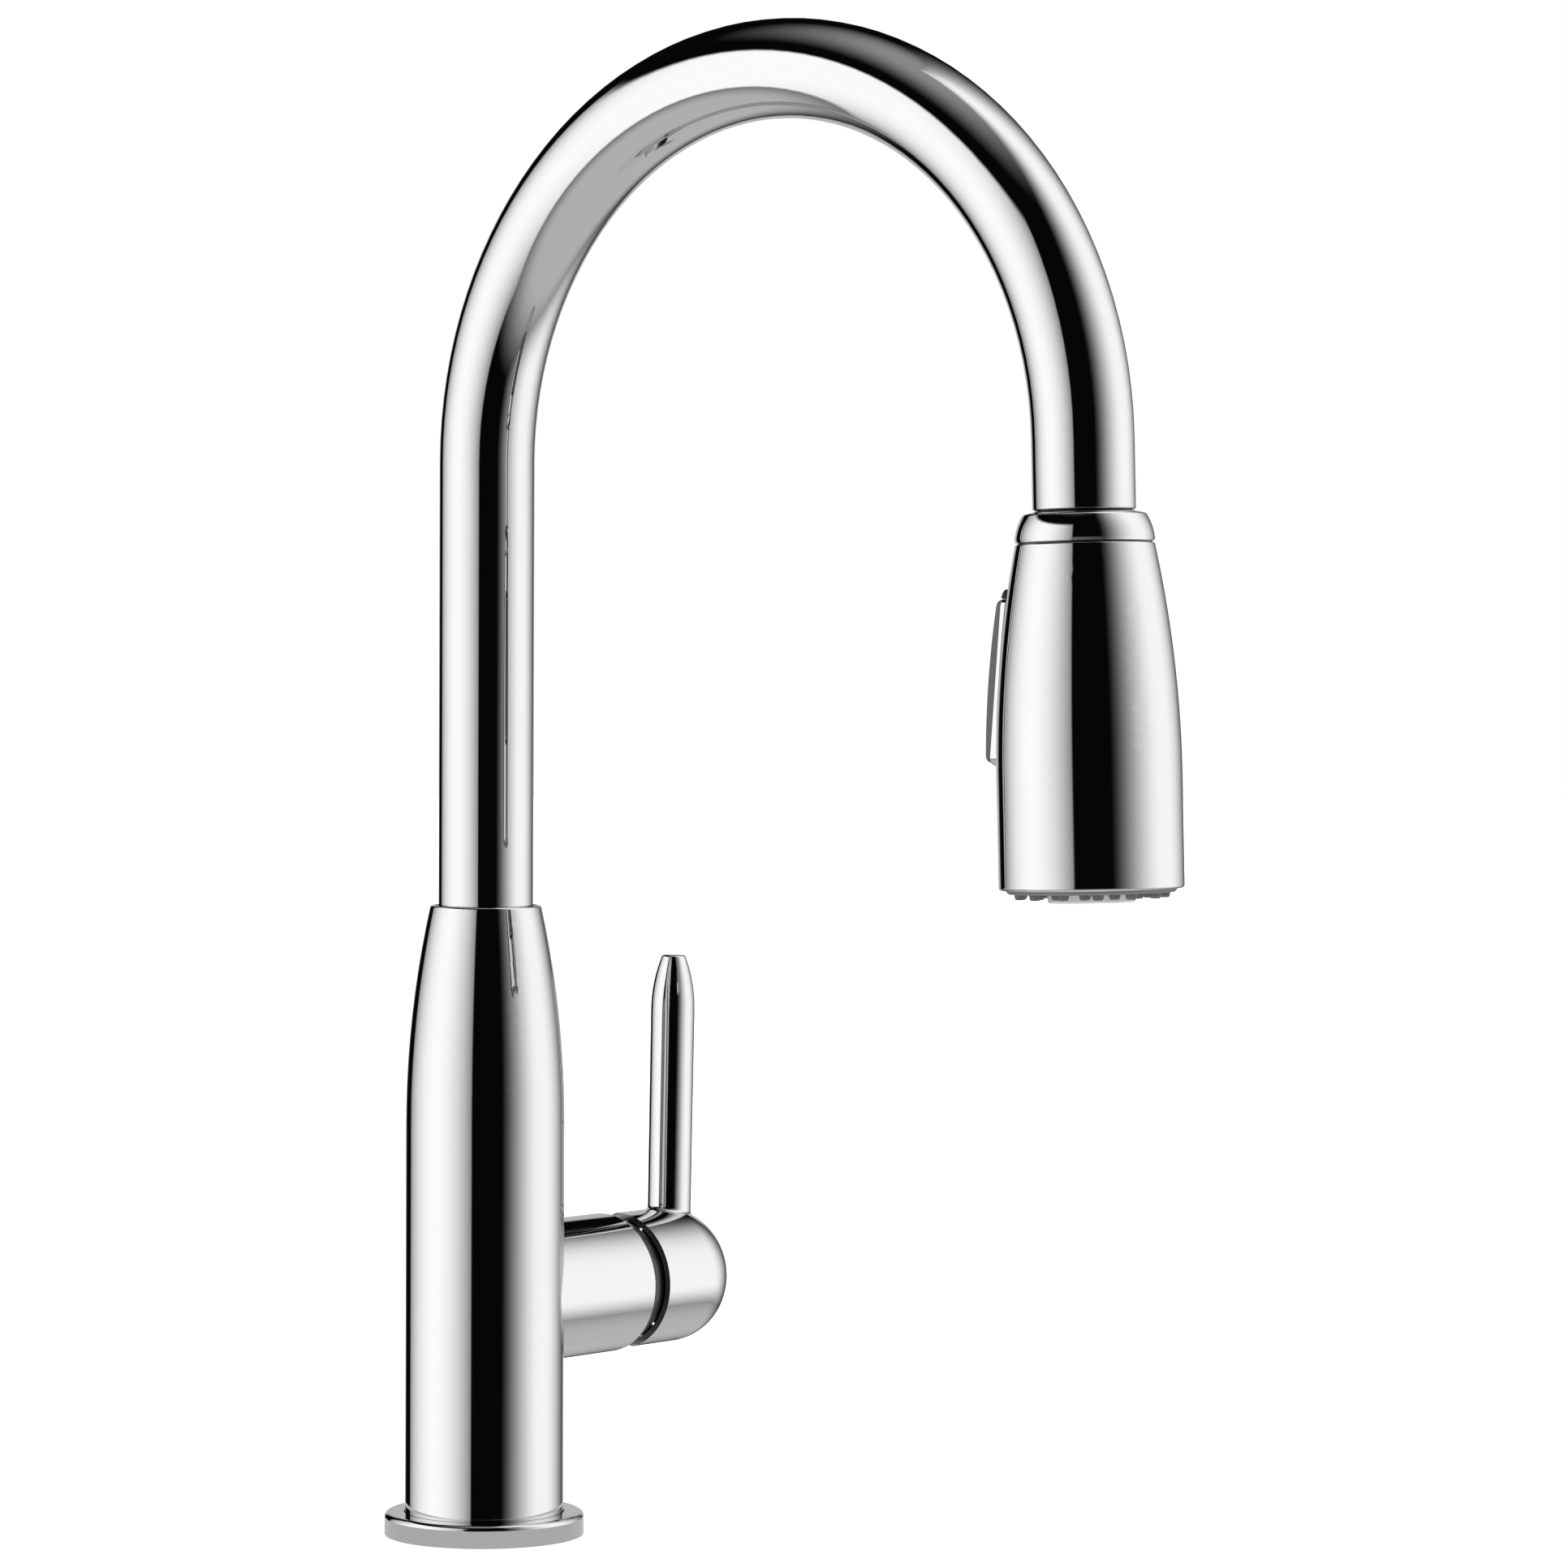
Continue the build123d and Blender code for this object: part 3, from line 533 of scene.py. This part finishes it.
def room_material():
    """The dark room and its soft boxes, by direction from the room's middle."""
    material = bpy.data.materials.new("studio_room")
    material.use_nodes = True
    tree = material.node_tree
    tree.nodes.remove(tree.nodes["Principled BSDF"])
    direction = tree.nodes.new("ShaderNodeVectorMath")
    direction.operation = "NORMALIZE"
    tree.links.new(tree.nodes.new("ShaderNodeTexCoord").outputs["Object"], direction.inputs[0])
    parts = tree.nodes.new("ShaderNodeSeparateXYZ")
    tree.links.new(direction.outputs["Vector"], parts.inputs["Vector"])
    turn = bearing(tree, parts)
    rise = maths(tree, "DEGREES", maths(tree, "ARCSINE", parts.outputs["Z"]))
    light = ROOM_LEVEL
    for box in (LEFT_BOX, RIGHT_BOX, TOP_BOX, BACK_BOX, FLOOR_BOX):
        light = maths(tree, "MAXIMUM", soft_box(tree, turn, rise, **box), light)
    emission = tree.nodes.new("ShaderNodeEmission")
    tree.links.new(light, emission.inputs["Color"])
    tree.links.new(emission.outputs["Emission"], tree.nodes["Material Output"].inputs["Surface"])
    material.cycles.emission_sampling = "NONE"
    return material


def only_mirrored(obj):
    """Leave a piece of the studio to the polished metal alone."""
    obj.visible_camera = False
    obj.visible_diffuse = False
    obj.visible_shadow = False


def make_room():
    """The studio round the faucet."""
    mesh = bpy.data.meshes.new("studio_room")
    form = bmesh.new()
    bmesh.ops.create_icosphere(form, subdivisions=5, radius=ROOM_RADIUS)
    form.to_mesh(mesh)
    form.free()
    mesh.materials.append(room_material())
    room = bpy.data.objects.new("studio_room", mesh)
    room.matrix_world = Matrix.Translation((0, 0, ROOM_HEIGHT)) @ studio_turn()
    bpy.context.scene.collection.objects.link(room)
    only_mirrored(room)


def make_world():
    """Plain white surroundings, which light the dull surfaces evenly."""
    world = bpy.data.worlds.new("studio")
    world.use_nodes = True
    world.node_tree.nodes["Background"].inputs["Color"].default_value = (1, 1, 1, 1)
    bpy.context.scene.world = world


def camera_matrix():
    """Camera to world matrix."""
    pitch = math.radians(CAMERA_PITCH)
    roll = math.radians(CAMERA_ROLL)
    up = Vector((0, 0, 1))
    to_camera, to_right = direction_axes()
    view = -math.cos(pitch) * to_camera - math.sin(pitch) * up
    view_up = math.cos(pitch) * up - math.sin(pitch) * to_camera
    right = math.cos(roll) * to_right + math.sin(roll) * view_up
    top = math.cos(roll) * view_up - math.sin(roll) * to_right
    place = CAMERA_DISTANCE * to_camera + CAMERA_RIGHT * to_right + CAMERA_HEIGHT * up
    return Matrix((
        (right.x, top.x, -view.x, place.x),
        (right.y, top.y, -view.y, place.y),
        (right.z, top.z, -view.z, place.z),
        (0, 0, 0, 1),
    ))


def make_camera():
    """The camera at the photograph's viewing angle."""
    data = bpy.data.cameras.new("camera")
    data.lens = CAMERA_LENS
    data.sensor_width = CAMERA_SENSOR
    data.clip_end = CAMERA_FAR
    camera = bpy.data.objects.new("camera", data)
    bpy.context.scene.collection.objects.link(camera)
    camera.matrix_world = camera_matrix()
    bpy.context.scene.camera = camera


def disc(name, radius, height, material):
    """A flat round piece of the studio."""
    mesh = bpy.data.meshes.new(name)
    mesh.from_pydata(ring_points(radius, height, ROUND_SIDES), [], [tuple(range(ROUND_SIDES))])
    mesh.materials.append(material)
    obj = bpy.data.objects.new(name, mesh)
    bpy.context.scene.collection.objects.link(obj)
    return obj


def glowing(name, tone, level):
    """A matt material with an even glow of its own."""
    material, _, shader = new_material(name)
    shader.inputs["Base Color"].default_value = (tone, tone, tone, 1)
    shader.inputs["Roughness"].default_value = 0.9
    shader.inputs["Specular IOR Level"].default_value = 0.0
    shader.inputs["Emission Color"].default_value = (1, 1, 1, 1)
    shader.inputs["Emission Strength"].default_value = level
    return material


def make_floor():
    """A pale counter that the camera sees."""
    floor = disc("floor", FLOOR_RADIUS, FLOOR_HEIGHT, glowing("floor", FLOOR_TONE, FLOOR_GLOW))
    floor.visible_glossy = False


def make_painted_floor_reflection():
    """A glowing grey disc round the base ring, which only the polished metal sees: a painted reflection of
    the floor in shade there.
    """
    only_mirrored(disc("painted_floor_reflection", PLATE_RADIUS, PLATE_HEIGHT, glowing("painted_floor_reflection", 0.0, PAINTED_FLOOR_REFLECTION_LEVEL)))


def make_light():
    """A broad soft light overhead, which the polished metal doesn't mirror."""
    data = bpy.data.lights.new("overhead", "AREA")
    data.shape = "DISK"
    data.size = LIGHT_SIZE
    data.energy = LIGHT_POWER
    light = bpy.data.objects.new("overhead", data)
    light.location = LIGHT_PLACE
    light.rotation_euler = (Vector((0, 0, 0)) - light.location).to_track_quat("-Z", "Y").to_euler()
    light.visible_glossy = False
    bpy.context.scene.collection.objects.link(light)


def hide_below_deck(shank):
    """The deck keeps what is under it out of the polished metal's reflections."""
    for piece in [shank] + [frame["nodes"][name] for name in BELOW_DECK]:
        piece.visible_glossy = False


materials = {slot: make() for slot, make in MAKERS.items()}
dress_nodes(materials)
make_hose(materials["hose_braid"])
hide_below_deck(make_shank(materials["brass"]))
make_nubs(materials["grey_rubber"])

make_world()
make_room()
make_floor()
make_painted_floor_reflection()
make_light()
make_camera()
bpy.context.scene.view_settings.view_transform = "Standard"
